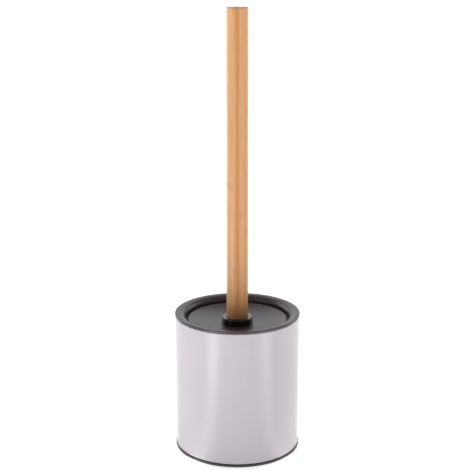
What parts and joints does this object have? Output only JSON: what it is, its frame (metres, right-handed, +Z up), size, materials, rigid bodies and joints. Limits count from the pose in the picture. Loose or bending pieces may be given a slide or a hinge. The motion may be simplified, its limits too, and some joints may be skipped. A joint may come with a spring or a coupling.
{
  "type": "toilet brush holder",
  "caption": "Free-standing toilet brush holder: white steel sleeve, black lift-out liner with rolled rim, dished lid, and a bristle brush with a round bamboo handle.",
  "frame": {"origin": "on the common axis of all pieces, in the plane that the foot pads rest on", "axes": "+Z up along the common axis and the handle; the object looks the same from all sides"},
  "size_m": [0.1018, 0.1018, 0.36],
  "materials": {
    "white_paint": "satin white powder coat on sheet steel",
    "black_plastic": "matte black moulded plastic",
    "gloss_black": "polished black moulded plastic",
    "bamboo": "laminated bamboo with a thin clear oil finish",
    "pad_rubber": "matte black foam rubber",
    "brass": "machined brass",
    "zinc_steel": "zinc-plated steel thread",
    "nylon_bristle": "white crimped nylon filament"
  },
  "bodies": {
    "holder": {"sleeve": "white_paint", "base_cap": "black_plastic", "foot_pad_1": "pad_rubber", "foot_pad_2": "pad_rubber", "foot_pad_3": "pad_rubber", "foot_pad_4": "pad_rubber"},
    "liner": {"liner": "black_plastic"},
    "lid": {"lid": "black_plastic"},
    "brush": {"collar": "gloss_black", "handle": "bamboo", "handle_insert": "brass", "stud": "zinc_steel", "stem": "black_plastic", "head_core": "black_plastic", "bristle_row_1": "nylon_bristle", "bristle_row_2": "nylon_bristle", "bristle_row_3": "nylon_bristle", "bristle_row_4": "nylon_bristle", "bristle_row_5": "nylon_bristle", "bristle_row_6": "nylon_bristle", "bristle_row_7": "nylon_bristle", "bristle_row_8": "nylon_bristle", "bristle_tip": "nylon_bristle"}
  },
  "joints": [
    {"name": "liner_lift", "type": "slide", "parent": "holder", "child": "liner", "axis": [0, 0, 1], "range_m": [0, 0.12]},
    {"name": "brush_lift", "type": "slide", "parent": "liner", "child": "lid", "axis": [0, 0, 1], "range_m": [0, 0.13]},
    {"name": "brush_spin", "type": "hinge", "parent": "lid", "child": "brush", "pos_m": [0, 0, 0.1052], "axis": [0, 0, 1], "continuous": true}
  ]
}
